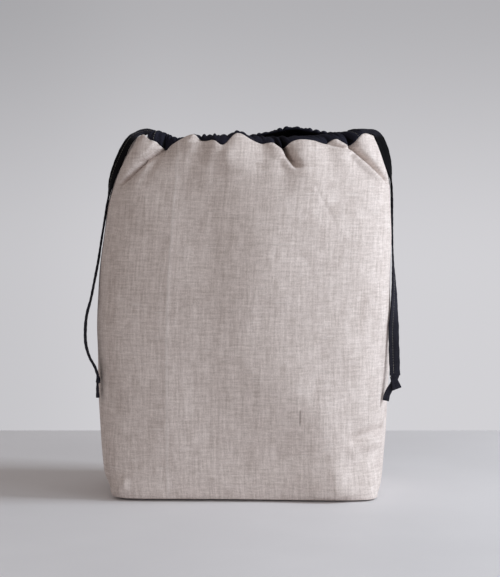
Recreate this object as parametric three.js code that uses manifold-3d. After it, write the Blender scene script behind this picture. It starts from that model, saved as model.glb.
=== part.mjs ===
// A linen project bag that stands on a boxed base. A gathered navy casing runs along the top edge
// of its front and back panels, and a navy tie hangs knotted at each side.
// Millimetres, +Z up, front towards -Y, origin at the middle of the base.
import * as THREE from "three";
import { mergeVertices } from "three/addons/utils/BufferGeometryUtils.js";
import Module from "manifold-3d";

const { lerp, smoothstep } = THREE.MathUtils;
const wasm = await Module();
wasm.setup();

// Linen panels
const RIM_HEIGHT = 333;
const EDGE_LIFT_FROM = 0.82;
const LINEN_THICK = 2;
const GIRTH_POINTS = 104;
const SEAM_GAP = 0.4;

// Reach from the middle to the side seams, to the front and to the back, and how square the corners are
const BODY = [
  { height: 0, left: 121.8, right: 122.8, front: 66, back: 66, square: 10 },
  { height: 5, left: 125.3, right: 126.3, front: 67.4, back: 67.4, square: 8 },
  { height: 16, left: 130.5, right: 129.7, front: 69.4, back: 69.4, square: 5.8 },
  { height: 33, left: 134.2, right: 131.9, front: 71.2, back: 71.2, square: 4.6 },
  { height: 56, left: 136.8, right: 134, front: 72.6, back: 72.6, square: 4 },
  { height: 90, left: 138.8, right: 136.6, front: 74, back: 74, square: 3.6 },
  { height: 135, left: 140, right: 138, front: 75, back: 75, square: 3.3 },
  { height: 180, left: 139.7, right: 139, front: 75, back: 75, square: 3.1 },
  { height: 228, left: 136, right: 139.2, front: 73, back: 73, square: 3 },
  { height: 256, left: 131.5, right: 138.8, front: 69.5, back: 69.5, square: 2.9 },
  { height: 278, left: 128, right: 138.2, front: 65.5, back: 65.5, square: 2.8 },
  { height: 296, left: 123, right: 137, front: 61, back: 61, square: 2.7 },
  { height: 311, left: 117.5, right: 132.4, front: 56, back: 56, square: 2.7 },
  { height: 324, left: 111.5, right: 127.8, front: 50, back: 50, square: 2.7 },
  { height: 333, left: 107, right: 123.5, front: 45, back: 46, square: 2.7 },
];

// Shares of the rim's height at which the panels are drawn
const ROWS = [
  0, 0.015, 0.05, 0.11, 0.16, 0.27, 0.4, 0.54, 0.66, 0.76, 0.83, 0.868, 0.9, 0.93, 0.956, 0.979, 1,
];

// Height of each panel's sewn top edge, by the distance along it from the panel's middle
const EDGE = {
  front: [
    { along: -138, height: 334 },
    { along: -125, height: 334 },
    { along: -115, height: 335 },
    { along: -107, height: 336.3 },
    { along: -97.5, height: 333.8 },
    { along: -85.3, height: 325 },
    { along: -76, height: 329.7 },
    { along: -61, height: 338.1 },
    { along: -55, height: 338.7 },
    { along: -49.5, height: 333.4 },
    { along: -35, height: 333 },
    { along: -29, height: 329 },
    { along: -15, height: 339.8 },
    { along: 0, height: 333 },
    { along: 7, height: 329.9 },
    { along: 18, height: 330.6 },
    { along: 26, height: 324.5 },
    { along: 35, height: 331.5 },
    { along: 55, height: 333 },
    { along: 66.6, height: 329.6 },
    { along: 77, height: 334.4 },
    { along: 91, height: 326.8 },
    { along: 106, height: 338 },
    { along: 118, height: 338.4 },
    { along: 138, height: 335.5 },
  ],
  back: [
    { along: -138, height: 335.5 },
    { along: -112, height: 338 },
    { along: -90, height: 326 },
    { along: -70, height: 336 },
    { along: -43, height: 334 },
    { along: -30, height: 328 },
    { along: -14, height: 336 },
    { along: 9, height: 333 },
    { along: 24, height: 337 },
    { along: 42, height: 328.5 },
    { along: 58, height: 336 },
    { along: 86, height: 326.5 },
    { along: 110, height: 337.5 },
    { along: 138, height: 335.5 },
  ],
};

// Hollows that the gathers press into each panel. Top and foot are distances along from the panel's
// middle, reach is how far a hollow runs down, and turn is the side on which it opens gently.
const LIP_SHARE = 0.18;
const FOLDS = {
  front: [
    { top: -89, foot: -127, reach: 42, depth: 17, steep: 6, wide: 13, turn: -1 },
    { top: -42, foot: -46, reach: 24, depth: 4, steep: 4.5, wide: 9, turn: 1 },
    { top: -29, foot: -31, reach: 16, depth: 5, steep: 3.5, wide: 4.5, turn: -1 },
    { top: 8, foot: 14, reach: 46, depth: 4, steep: 9, wide: 9, turn: 1 },
    { top: 29, foot: 45, reach: 30, depth: 11, steep: 3.5, wide: 7.5, turn: 1 },
    { top: 69, foot: 86, reach: 15, depth: 5, steep: 3.5, wide: 7, turn: 1 },
    { top: 95, foot: 139, reach: 42, depth: 17, steep: 6, wide: 13, turn: 1 },
  ],
  back: [
    { top: -94, foot: -138, reach: 43, depth: 15, steep: 6, wide: 13, turn: -1 },
    { top: -56, foot: -60, reach: 20, depth: 4, steep: 5, wide: 8, turn: 1 },
    { top: -28, foot: -42, reach: 28, depth: 9, steep: 4, wide: 8, turn: -1 },
    { top: 8, foot: 4, reach: 38, depth: 4, steep: 9, wide: 9, turn: 1 },
    { top: 44, foot: 54, reach: 24, depth: 7, steep: 4, wide: 8, turn: 1 },
    { top: 89, foot: 128, reach: 43, depth: 15, steep: 6, wide: 13, turn: 1 },
  ],
};

// Soft troughs in the body of the cloth, from one end to the other
const CREASES = {
  front: [
    { along: 172, height: 62, toAlong: 122, toHeight: 44, depth: 3, wide: 14 },
    { along: -160, height: 6, toAlong: -118, toHeight: 30, depth: 2, wide: 12 },
    { along: 66, height: 292, toAlong: 98, toHeight: 236, depth: 1.6, wide: 13 },
  ],
  back: [
    { along: -150, height: 40, toAlong: -112, toHeight: 62, depth: 2.5, wide: 15 },
    { along: 48, height: 288, toAlong: 84, toHeight: 226, depth: 2, wide: 15 },
  ],
};

// Navy casings, between stops counted in half columns of the linen
const CASING_STOPS = { casing_front: [20, 86], casing_back: [118, 192] };
const CASING_GAP = 0.9;
const CASING_RISE = 2.2;
const CASING_SECTION = [
  { share: 0, thick: LINEN_THICK, ruche: 0 },
  { share: 0.3, thick: 2.2, ruche: 0.2 },
  { share: 0.55, thick: 4, ruche: 0.6 },
  { share: 0.8, thick: 4.4, ruche: 0.9 },
  { share: 1, thick: 2.4, ruche: 1 },
];
const RUCHE_DEPTH = 1.3;
const RUCHE_SCALLOP = 0.7;

// Inner edge of each casing, round the mouth
const MOUTH = {
  casing_front: [
    { x: -77, y: -13, z: 337 },
    { x: -62, y: -18.5, z: 335.5 },
    { x: -46, y: -20.5, z: 336.5 },
    { x: -15, y: -21.5, z: 337.5 },
    { x: 8, y: -21, z: 335.5 },
    { x: 45, y: -20.5, z: 334.5 },
    { x: 70, y: -18.5, z: 336 },
    { x: 92, y: -12, z: 338.5 },
  ],
  casing_back: [
    { x: 101, y: 10, z: 339.5 },
    { x: 91, y: 15, z: 339 },
    { x: 76, y: 20, z: 338.5 },
    { x: 58, y: 23.5, z: 341 },
    { x: 45, y: 24.5, z: 343 },
    { x: 30, y: 25, z: 341.5 },
    { x: 8, y: 25, z: 338.5 },
    { x: -20, y: 24.5, z: 336.5 },
    { x: -55, y: 21, z: 335.5 },
    { x: -76, y: 16, z: 337 },
    { x: -88, y: 10.5, z: 338 },
  ],
};

// Ties: places along the middle of each strip, and the way that its flat side looks there
const TIE_WIDTH = 10;
const TIE_THICK = 1.8;
const TIE_BEVEL = 0.7;
const TIE_STEP = 8;
const TIES = {
  tie_left: [
    { x: -81, y: -13.5, z: 338.5, faceX: 0, faceY: -0.65, faceZ: 0.75 },
    { x: -87, y: -9.5, z: 341.2, faceX: 0, faceY: -0.55, faceZ: 0.83 },
    { x: -93, y: -6.5, z: 341.9, faceX: 0, faceY: -0.58, faceZ: 0.8 },
    { x: -97.6, y: -6.5, z: 341, faceX: -0.25, faceY: -0.62, faceZ: 0.74 },
    { x: -103.6, y: -13.4, z: 338.6, faceX: -0.45, faceY: -0.7, faceZ: 0.55 },
    { x: -109, y: -19, z: 332.4, faceX: -0.58, faceY: -0.74, faceZ: 0.28 },
    { x: -113.5, y: -19.2, z: 324.3, faceX: -0.6, faceY: -0.79, faceZ: 0.1 },
    { x: -117.9, y: -18.8, z: 314.7, faceX: -0.6, faceY: -0.79, faceZ: 0.1 },
    { x: -122, y: -17.6, z: 305.2, faceX: -0.7, faceY: -0.71, faceZ: 0.1 },
    { x: -125.4, y: -15.8, z: 295.7, faceX: -0.84, faceY: -0.53, faceZ: 0.1 },
    { x: -127.4, y: -14.8, z: 286.2, faceX: -0.97, faceY: -0.25, faceZ: 0.05 },
    { x: -129.3, y: -14.5, z: 276.5, faceX: -1, faceY: -0.05, faceZ: 0 },
    { x: -132.3, y: -16, z: 257.8, faceX: -1, faceY: -0.04, faceZ: 0 },
    { x: -135.3, y: -18, z: 238.8, faceX: -1, faceY: -0.03, faceZ: 0.05 },
    { x: -138, y: -21, z: 220.1, faceX: -1, faceY: 0, faceZ: 0.1 },
    { x: -141.4, y: -25, z: 201.4, faceX: -1, faceY: 0, faceZ: 0.12 },
    { x: -144.9, y: -30, z: 182.8, faceX: -1, faceY: 0, faceZ: 0.15 },
    { x: -147.9, y: -33, z: 171, faceX: -1, faceY: 0.03, faceZ: 0.1 },
    { x: -149.2, y: -36, z: 157, faceX: -1, faceY: 0.05, faceZ: 0 },
    { x: -148.2, y: -39.5, z: 141.3, faceX: -1, faceY: 0.05, faceZ: -0.1 },
    { x: -144.6, y: -42, z: 130.5, faceX: -0.95, faceY: 0, faceZ: -0.3 },
    { x: -139.4, y: -44.5, z: 121.5, faceX: -0.92, faceY: 0, faceZ: -0.4 },
    { x: -136.8, y: -45.5, z: 114, faceX: -1, faceY: 0, faceZ: -0.15 },
  ],
  tie_right: [
    { x: 96.5, y: -13, z: 339, faceX: 0, faceY: -0.65, faceZ: 0.75 },
    { x: 103, y: -9, z: 341.2, faceX: 0, faceY: -0.55, faceZ: 0.83 },
    { x: 110, y: -6.5, z: 342.2, faceX: 0, faceY: -0.5, faceZ: 0.86 },
    { x: 117, y: -5.6, z: 342, faceX: 0.1, faceY: -0.5, faceZ: 0.86 },
    { x: 123.5, y: -7.6, z: 341, faceX: 0.4, faceY: -0.6, faceZ: 0.7 },
    { x: 128.4, y: -12, z: 334.2, faceX: 0.42, faceY: -0.84, faceZ: 0.3 },
    { x: 131.9, y: -13.8, z: 324.4, faceX: 0.4, faceY: -0.9, faceZ: 0 },
    { x: 134.5, y: -14.7, z: 314.9, faceX: 0.6, faceY: -0.8, faceZ: 0 },
    { x: 137.4, y: -13, z: 305.3, faceX: 0.9, faceY: -0.43, faceZ: 0 },
    { x: 139, y: -11, z: 295.8, faceX: 1, faceY: -0.08, faceZ: 0 },
    { x: 139.8, y: -10, z: 284, faceX: 1, faceY: 0, faceZ: 0 },
    { x: 140.2, y: -9, z: 264, faceX: 1, faceY: 0, faceZ: 0 },
    { x: 140.5, y: -10, z: 243, faceX: 1, faceY: -0.05, faceZ: 0 },
    { x: 141, y: -14, z: 220, faceX: 1, faceY: -0.14, faceZ: 0 },
    { x: 141.5, y: -24, z: 190, faceX: 0.84, faceY: -0.55, faceZ: 0 },
    { x: 140.8, y: -31.5, z: 174, faceX: 0.65, faceY: -0.76, faceZ: 0 },
    { x: 140, y: -38, z: 158, faceX: 0.2, faceY: -0.98, faceZ: 0 },
    { x: 140.2, y: -41.5, z: 137, faceX: 0, faceY: -1, faceZ: 0 },
    { x: 140.9, y: -44, z: 114, faceX: 0.1, faceY: -1, faceZ: 0 },
  ],
};

// Knots: a tight turn round the tie's end, and the strip that comes out of it
const KNOT_DROP = 3.4;
const KNOT_RING = { radius: 3.4, tube: 2.1, around: 12, sides: 8 };
const KNOTS = {
  knot_left: {
    flatX: 0.6,
    flatY: 1.15,
    roll: 0.15,
    tails: [
      [
        { x: -136.6, y: -45.3, z: 110, faceX: -1, faceY: -0.3, faceZ: 0 },
        { x: -136.1, y: -46, z: 103, faceX: -0.95, faceY: -0.35, faceZ: 0 },
        { x: -135.6, y: -47, z: 93.5, faceX: -0.9, faceY: -0.5, faceZ: 0 },
      ],
    ],
    tailWidth: 7.5,
  },
  knot_right: {
    flatX: 1.2,
    flatY: 0.8,
    roll: -0.35,
    tails: [
      [
        { x: 140, y: -44, z: 110, faceX: 0, faceY: -1, faceZ: 0 },
        { x: 136.4, y: -46, z: 102.5, faceX: 0.1, faceY: -1, faceZ: 0 },
        { x: 131.4, y: -49, z: 91, faceX: -0.1, faceY: -1, faceZ: 0 },
      ],
      [
        { x: 139.5, y: -44, z: 109.5, faceX: 0, faceY: -1, faceZ: 0 },
        { x: 142.4, y: -43.6, z: 106, faceX: 0, faceY: -1, faceZ: 0.1 },
        { x: 144.6, y: -43.2, z: 103, faceX: 0, faceY: -1, faceZ: 0.2 },
      ],
    ],
    tailWidth: 6.5,
  },
};
const TAIL_STEPS = 4;

const COLOURS = { linen: 0xc9bfb3, navy: 0x23263c, strip: 0x1b1d2e };

// Reads a table by its first column and fills in smoothly between its rows
function reader(rows) {
  const [by, ...columns] = Object.keys(rows[0]);
  const places = rows.map((row) => row[by]);
  const values = rows.flatMap((row) => columns.map((column) => row[column]));
  const spline = new THREE.CubicInterpolant(places, values, columns.length);
  return (at) => {
    const found = spline.evaluate(at);
    return Object.fromEntries(columns.map((column, i) => [column, found[i]]));
  };
}

// A level outline of the bag, from the left side seam round the front
class Outline extends THREE.Curve {
  constructor(size) {
    super();
    this.size = size;
    this.arcLengthDivisions = 720;
  }

  getPoint(t, target = new THREE.Vector3()) {
    const turn = Math.PI * (1 + 2 * t);
    const c = Math.cos(turn);
    const s = Math.sin(turn);
    const { left, right, front, back, square } = this.size;
    const across = Math.abs(c) / (c < 0 ? left : right);
    const deep = Math.abs(s) / (s < 0 ? front : back);
    const radius = (across ** square + deep ** square) ** (-1 / square);
    return target.set(radius * c, radius * s, 0);
  }
}

const panelAt = (t) => (t < 0.5 ? "front" : "back");
const alongPanel = (t, girth) => ((t % 0.5) - 0.25) * girth;
const bell = (x) => Math.exp(-x * x / 2);

function foldDepth(panel, along, below) {
  let inward = 0;
  for (const fold of FOLDS[panel]) {
    const down = below / fold.reach;
    const fade = Math.max(1 - down * down, 0);
    const offset = (along - lerp(fold.top, fold.foot, Math.min(down, 1))) * fold.turn;
    const hollow = bell(offset / (offset < 0 ? fold.steep : fold.wide));
    const lip = bell((offset + 3 * fold.steep) / (1.4 * fold.steep));
    inward += fold.depth * fade * (hollow - LIP_SHARE * lip);
  }
  return inward;
}

function creaseDepth(panel, along, height) {
  let inward = 0;
  const here = new THREE.Vector3(along, height, 0);
  for (const crease of CREASES[panel]) {
    const run = new THREE.Line3(
      new THREE.Vector3(crease.along, crease.height, 0),
      new THREE.Vector3(crease.toAlong, crease.toHeight, 0),
    );
    const near = run.closestPointToPoint(here, true, new THREE.Vector3());
    inward += crease.depth * bell(here.distanceTo(near) / crease.wide);
  }
  return inward;
}

// Outer side of the linen: rows of points from the base up to the sewn edge
const bodyAt = reader(BODY);
const edgeAt = { front: reader(EDGE.front), back: reader(EDGE.back) };
const rimGirth = new Outline(bodyAt(RIM_HEIGHT)).getLength();

function linenRow(share) {
  const height = share * RIM_HEIGHT;
  const outline = new Outline(bodyAt(height));
  const girth = outline.getLength();
  const lifted = smoothstep(share, EDGE_LIFT_FROM, 1);
  const soft = smoothstep(height, 0, 8);
  return Array.from({ length: GIRTH_POINTS }, (_, k) => {
    const t = (k + 0.5) / GIRTH_POINTS;
    const panel = panelAt(t);
    const along = alongPanel(t, girth);
    const tangent = outline.getTangentAt(t);
    const outward = new THREE.Vector3(tangent.y, -tangent.x, 0);
    const inward = foldDepth(panel, along, RIM_HEIGHT - height) + soft * creaseDepth(panel, along, height);
    const point = outline.getPointAt(t).addScaledVector(outward, -inward);
    point.z = height + lifted * (edgeAt[panel](alongPanel(t, rimGirth)).height - RIM_HEIGHT);
    return point;
  });
}

// Inner side of the linen, one thickness in from the outer side
function innerRows(outer) {
  const last = outer.length - 1;
  return outer.map((row, j) => row.map((point, k) => {
    const ahead = row[(k + 1) % GIRTH_POINTS];
    const behind = row[(k + GIRTH_POINTS - 1) % GIRTH_POINTS];
    const above = outer[Math.min(j + 1, last)][k];
    const under = outer[Math.max(j - 1, 0)][k];
    const around = ahead.clone().sub(behind);
    const normal = around.clone().cross(above.clone().sub(under));
    if (j === 0 || j === last) {
      normal.z = 0;
    }
    const inside = point.clone().addScaledVector(normal.normalize(), -LINEN_THICK);
    return j === 0 ? inside.setZ(LINEN_THICK) : inside;
  }));
}

// Geometry from points and triangles, with its faces turned outwards
function solid(points, triangles) {
  let volume = 0;
  for (const [a, b, c] of triangles) {
    volume += points[a].dot(points[b].clone().cross(points[c]));
  }
  const index = triangles.flatMap(([a, b, c]) => (volume > 0 ? [a, b, c] : [a, c, b]));
  const geometry = new THREE.BufferGeometry().setFromPoints(points);
  geometry.setIndex(index);
  return geometry;
}

const quad = (a, b, c, d) => [[a, b, c], [a, c, d]];

function linenShell(outer, inner) {
  const points = [...outer.flat(), ...inner.flat()];
  const at = (side, j, k) => side * outer.length * GIRTH_POINTS + j * GIRTH_POINTS + (k % GIRTH_POINTS);
  const top = outer.length - 1;
  const triangles = [];
  for (let k = 0; k < GIRTH_POINTS; k += 1) {
    for (let j = 0; j < top; j += 1) {
      triangles.push(...quad(at(0, j, k), at(0, j, k + 1), at(0, j + 1, k + 1), at(0, j + 1, k)));
      triangles.push(...quad(at(1, j, k), at(1, j + 1, k), at(1, j + 1, k + 1), at(1, j, k + 1)));
    }
    triangles.push(...quad(at(0, top, k), at(0, top, k + 1), at(1, top, k + 1), at(1, top, k)));
  }
  const under = THREE.ShapeUtils.triangulateShape(outer[0], []);
  triangles.push(...under.map(([a, b, c]) => [at(0, 0, a), at(0, 0, c), at(0, 0, b)]));
  const floor = THREE.ShapeUtils.triangulateShape(inner[0], []);
  triangles.push(...floor.map(([a, b, c]) => [at(1, 0, a), at(1, 0, b), at(1, 0, c)]));
  return solid(points, triangles);
}

// Solid drawn through a row of like sections, each a band whose two sides are listed there and back
function loft(sections) {
  const points = sections.flat();
  const count = sections[0].length;
  const triangles = [];
  const at = (i, j) => i * count + (j % count);
  const last = sections.length - 1;
  for (let i = 0; i < last; i += 1) {
    for (let j = 0; j < count; j += 1) {
      triangles.push(...quad(at(i, j), at(i + 1, j), at(i + 1, j + 1), at(i, j + 1)));
    }
  }
  for (let j = 0; j < count / 2 - 1; j += 1) {
    const back = count - 1 - j;
    triangles.push(...quad(at(0, j), at(0, j + 1), at(0, back - 1), at(0, back)));
    triangles.push(...quad(at(last, back), at(last, back - 1), at(last, j + 1), at(last, j)));
  }
  return solid(points, triangles);
}

function manifold(geometry) {
  const bare = geometry.clone();
  bare.deleteAttribute("normal");
  bare.deleteAttribute("uv");
  const merged = mergeVertices(bare);
  const vertProperties = new Float32Array(merged.attributes.position.array);
  const triVerts = new Uint32Array(merged.index.array);
  return new wasm.Manifold(new wasm.Mesh({ numProp: 3, vertProperties, triVerts }));
}

function geometryOf(body) {
  const mesh = body.getMesh();
  const geometry = new THREE.BufferGeometry();
  geometry.setAttribute("position", new THREE.Float32BufferAttribute(mesh.vertProperties, 3));
  geometry.setIndex(new THREE.Uint32BufferAttribute(mesh.triVerts, 1));
  return geometry;
}

// Half of the linen, on one side of the seams
function panel(shell, side) {
  const reach = 2 * RIM_HEIGHT;
  const half = new THREE.BoxGeometry(reach, reach, reach);
  half.translate(0, side * (reach / 2 + SEAM_GAP / 2), reach / 4);
  return geometryOf(shell.intersect(manifold(half)));
}

// A fixed uneven number between 0 and 1 for each gather
const uneven = (i) => Math.abs(Math.sin(i * 12.9898) * 43758.5453) % 1;

function casing(outer, inner, [from, to], mouth) {
  const rim = { outer: outer.at(-1), inner: inner.at(-1) };
  const mouthEdge = new THREE.CatmullRomCurve3(mouth.map(({ x, y, z }) => new THREE.Vector3(x, y, z)));
  const rimPoint = (side, i) => {
    const before = rim[side][Math.ceil(i / 2) - 1];
    const after = rim[side][Math.floor(i / 2)];
    return before.clone().lerp(after, 0.5).add(new THREE.Vector3(0, 0, CASING_GAP));
  };
  const sections = [];
  for (let i = from; i <= to; i += 1) {
    const zig = (i % 2 === 0 ? 1 : -1) * (0.5 + uneven(i));
    const start = rimPoint("outer", i).lerp(rimPoint("inner", i), 0.5);
    const end = mouthEdge.getPointAt((i - from) / (to - from));
    end.z += RUCHE_SCALLOP * zig;
    const bend = start.clone().setZ(Math.max(start.z + CASING_RISE, end.z));
    const path = new THREE.QuadraticBezierCurve3(start, bend, end);
    const inwards = end.clone().sub(start).setZ(0).normalize();
    const faces = CASING_SECTION.slice(1).map(({ share, thick, ruche }) => {
      const tangent = path.getTangent(share);
      const normal = inwards.clone().multiplyScalar(-tangent.z).setZ(tangent.dot(inwards)).normalize();
      const middle = path.getPoint(share).addScaledVector(normal, zig * ruche * RUCHE_DEPTH);
      return [
        middle.clone().addScaledVector(normal, thick / 2),
        middle.clone().addScaledVector(normal, -thick / 2),
      ];
    });
    const sides = [[rimPoint("outer", i), rimPoint("inner", i)], ...faces];
    sections.push([...sides.map((side) => side[0]), ...sides.map((side) => side[1]).reverse()]);
  }
  return loft(sections);
}

// A folded strip along a route, turned so that its flat side looks the given way
function strip(route, width, steps) {
  const spots = route.map(({ x, y, z }) => new THREE.Vector3(x, y, z));
  const looks = route.map(({ faceX, faceY, faceZ }) => new THREE.Vector3(faceX, faceY, faceZ));
  const line = new THREE.CatmullRomCurve3(spots);
  const facing = new THREE.CatmullRomCurve3(looks);
  const wide = width / 2;
  const deep = TIE_THICK / 2;
  const profile = [
    [-wide, deep - TIE_BEVEL],
    [-wide + TIE_BEVEL, deep],
    [wide - TIE_BEVEL, deep],
    [wide, deep - TIE_BEVEL],
  ];
  const count = steps ?? Math.round(line.getLength() / TIE_STEP);
  const sections = Array.from({ length: count + 1 }, (_, i) => {
    const t = line.getUtoTmapping(i / count);
    const middle = line.getPoint(t);
    const tangent = line.getTangent(t);
    const side = tangent.clone().cross(facing.getPoint(t)).normalize();
    const face = side.clone().cross(tangent).normalize();
    const upper = profile.map(([u, v]) => middle.clone().addScaledVector(side, u).addScaledVector(face, v));
    const lower = profile.map(([u, v]) => middle.clone().addScaledVector(side, u).addScaledVector(face, -v));
    return [...upper, ...lower.reverse()];
  });
  return loft(sections);
}

function knot(route, { flatX, flatY, roll, tails, tailWidth }) {
  const { x, y, z } = route.at(-1);
  const ring = new THREE.TorusGeometry(KNOT_RING.radius, KNOT_RING.tube, KNOT_RING.sides, KNOT_RING.around);
  ring.rotateY(roll);
  ring.scale(flatX, flatY, 1);
  ring.translate(x, y, z - KNOT_DROP);
  const strips = tails.map((tail) => manifold(strip(tail, tailWidth, TAIL_STEPS)));
  return geometryOf(strips.reduce((whole, piece) => whole.add(piece), manifold(ring)));
}

const bag = new THREE.Group();
bag.name = "project_bag";

function fit(name, geometry, color, roughness) {
  const mesh = new THREE.Mesh(geometry, new THREE.MeshStandardMaterial({ color, roughness }));
  mesh.name = name;
  bag.add(mesh);
}

const outerSide = ROWS.map(linenRow);
const innerSide = innerRows(outerSide);
const shell = manifold(linenShell(outerSide, innerSide));
fit("linen_front", panel(shell, -1), COLOURS.linen, 0.95);
fit("linen_back", panel(shell, 1), COLOURS.linen, 0.95);
for (const [name, stops] of Object.entries(CASING_STOPS)) {
  fit(name, casing(outerSide, innerSide, stops, MOUTH[name]), COLOURS.navy, 0.9);
}
for (const [name, route] of Object.entries(TIES)) {
  fit(name, strip(route, TIE_WIDTH), COLOURS.strip, 0.9);
}
fit("knot_left", knot(TIES.tie_left, KNOTS.knot_left), COLOURS.strip, 0.9);
fit("knot_right", knot(TIES.tie_right, KNOTS.knot_right), COLOURS.strip, 0.9);

export default bag;
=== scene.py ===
# %% [markdown]
# # A linen drawstring bag
# The real bag is a boxed linen bag whose top edge is gathered into a dark ruched casing, with a folded and
# knotted tie hanging at each side. A packed model already holds its sizes as plain solids. This lesson puts
# finer cloth in the same places. Tables are in millimetres, as a maker would note them, and every mesh is made
# in metres, because that is what the packed model uses.

# %% Load the packed model
import math

import bmesh
import bpy
import numpy as np
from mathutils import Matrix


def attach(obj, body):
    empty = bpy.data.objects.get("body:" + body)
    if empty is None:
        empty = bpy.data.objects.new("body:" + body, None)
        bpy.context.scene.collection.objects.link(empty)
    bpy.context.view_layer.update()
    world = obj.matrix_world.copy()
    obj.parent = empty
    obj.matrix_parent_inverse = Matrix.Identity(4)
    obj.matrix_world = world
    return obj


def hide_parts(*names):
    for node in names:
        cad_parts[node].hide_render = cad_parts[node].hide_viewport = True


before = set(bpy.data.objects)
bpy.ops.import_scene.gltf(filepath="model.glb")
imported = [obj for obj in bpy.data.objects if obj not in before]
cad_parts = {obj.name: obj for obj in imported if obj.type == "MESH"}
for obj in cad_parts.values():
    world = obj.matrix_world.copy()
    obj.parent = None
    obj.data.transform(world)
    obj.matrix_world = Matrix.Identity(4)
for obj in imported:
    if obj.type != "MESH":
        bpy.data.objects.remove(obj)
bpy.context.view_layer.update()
MM = 0.001
print("packed nodes:", ", ".join(sorted(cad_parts)))

# %% [markdown]
# ## Camera
# The bag was seen from the front, a little above its mouth and from some way off, so its sides run almost
# parallel. A long lens does the same here. The camera comes first, because everything else is judged through it.

# %% Camera
PICTURE = (500, 577)
SEEN_FROM = (0.0053, -1.6, 0.30)
LOOKING_DOWN = 3.84  # degrees
SENSOR, LENS = 36, 104.4  # millimetres

camera = bpy.data.objects.new("camera", bpy.data.cameras.new("camera"))
bpy.context.scene.collection.objects.link(camera)
camera.data.sensor_width, camera.data.lens = SENSOR, LENS
camera.location = SEEN_FROM
camera.rotation_euler = (math.radians(90 - LOOKING_DOWN), 0, 0)
bpy.context.scene.camera = camera
print(f"camera with a {camera.data.lens:.0f} mm lens for a picture of {PICTURE[0]} x {PICTURE[1]}")


# %% [markdown]
# ## Tools for cloth
# Every piece of this bag is cloth, so a few helpers serve them all. One fills in smoothly between the rows of a
# short table, one turns a grid of points into a mesh that carries its own weave map, and a bell curve shapes
# soft hollows. Writing points in numpy and making the mesh once is quicker than moving vertices one by one.

# %% Smooth tables
def smooth(rows, at):
    """Values between the rows of a table, on a smooth curve; the first column is the place."""
    rows, at = np.asarray(rows, float), np.asarray(at, float)
    places, values = rows[:, 0], rows[:, 1:]
    slopes = np.gradient(values, places, axis=0)
    k = np.clip(np.searchsorted(places, at, side="right") - 1, 0, len(places) - 2)
    gap = (places[k + 1] - places[k])[..., None]
    s = np.clip((at - places[k])[..., None] / gap, 0, 1)
    rise = s * s * (3 - 2 * s)
    curve = gap * s * (1 - s) * ((1 - s) * slopes[k] - s * slopes[k + 1])
    return (1 - rise) * values[k] + rise * values[k + 1] + curve


def bell(x):
    """A soft bump: 1 at 0, and next to nothing beyond 3 on either side."""
    return np.exp(-x * x / 2)


def ease(x, low, high):
    """Rises softly from 0 at low to 1 at high."""
    s = np.clip((x - low) / (high - low), 0, 1)
    return s * s * (3 - 2 * s)


def unit(v):
    """Vectors of length 1 that point the same way."""
    return v / np.linalg.norm(v, axis=-1, keepdims=True)


print("halfway between 1 and 3:", smooth([(0, 1), (1, 3)], 0.5))


# %% Grids of points to meshes
def grid_faces(rows, columns, closed=False):
    """Quads between the points of a grid; a closed one joins its last column to its first."""
    j, i = np.meshgrid(np.arange(rows - 1), np.arange(columns - (not closed)), indexing="ij")
    a, b = j * columns + i, j * columns + (i + 1) % columns
    return np.stack([a, b, b + columns, a + columns], -1).reshape(-1, 4).tolist()


def cloth_mesh(name, points, faces, weave):
    """An object from points in millimetres, with a weave map in metres on the cloth."""
    mesh = bpy.data.meshes.new(name)
    mesh.from_pydata((points.reshape(-1, 3) * MM).tolist(), [], faces)
    corners = np.zeros(len(mesh.loops), int)
    mesh.loops.foreach_get("vertex_index", corners)
    layer = mesh.uv_layers.new(name="weave")
    layer.data.foreach_set("uv", (weave.reshape(-1, 2)[corners] * MM).ravel())
    mesh.polygons.foreach_set("use_smooth", [True] * len(mesh.polygons))
    made = bpy.data.objects.new(name, mesh)
    bpy.context.scene.collection.objects.link(made)
    return made


def merge_doubles(piece, closed):
    """Merges doubled points, and points the faces of a closed piece outwards."""
    work = bmesh.new()
    work.from_mesh(piece.data)
    bmesh.ops.remove_doubles(work, verts=work.verts, dist=1e-6)
    if closed:
        bmesh.ops.recalc_face_normals(work, faces=work.faces)
    work.to_mesh(piece.data)
    work.free()


def thicken(piece, thick):
    """Gives a sheet its thickness, on the inner side."""
    sheet = piece.modifiers.new("cloth thickness", "SOLIDIFY")
    sheet.thickness, sheet.offset = thick * MM, -1


print("one quad of a 2 x 2 grid:", grid_faces(2, 2))
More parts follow.
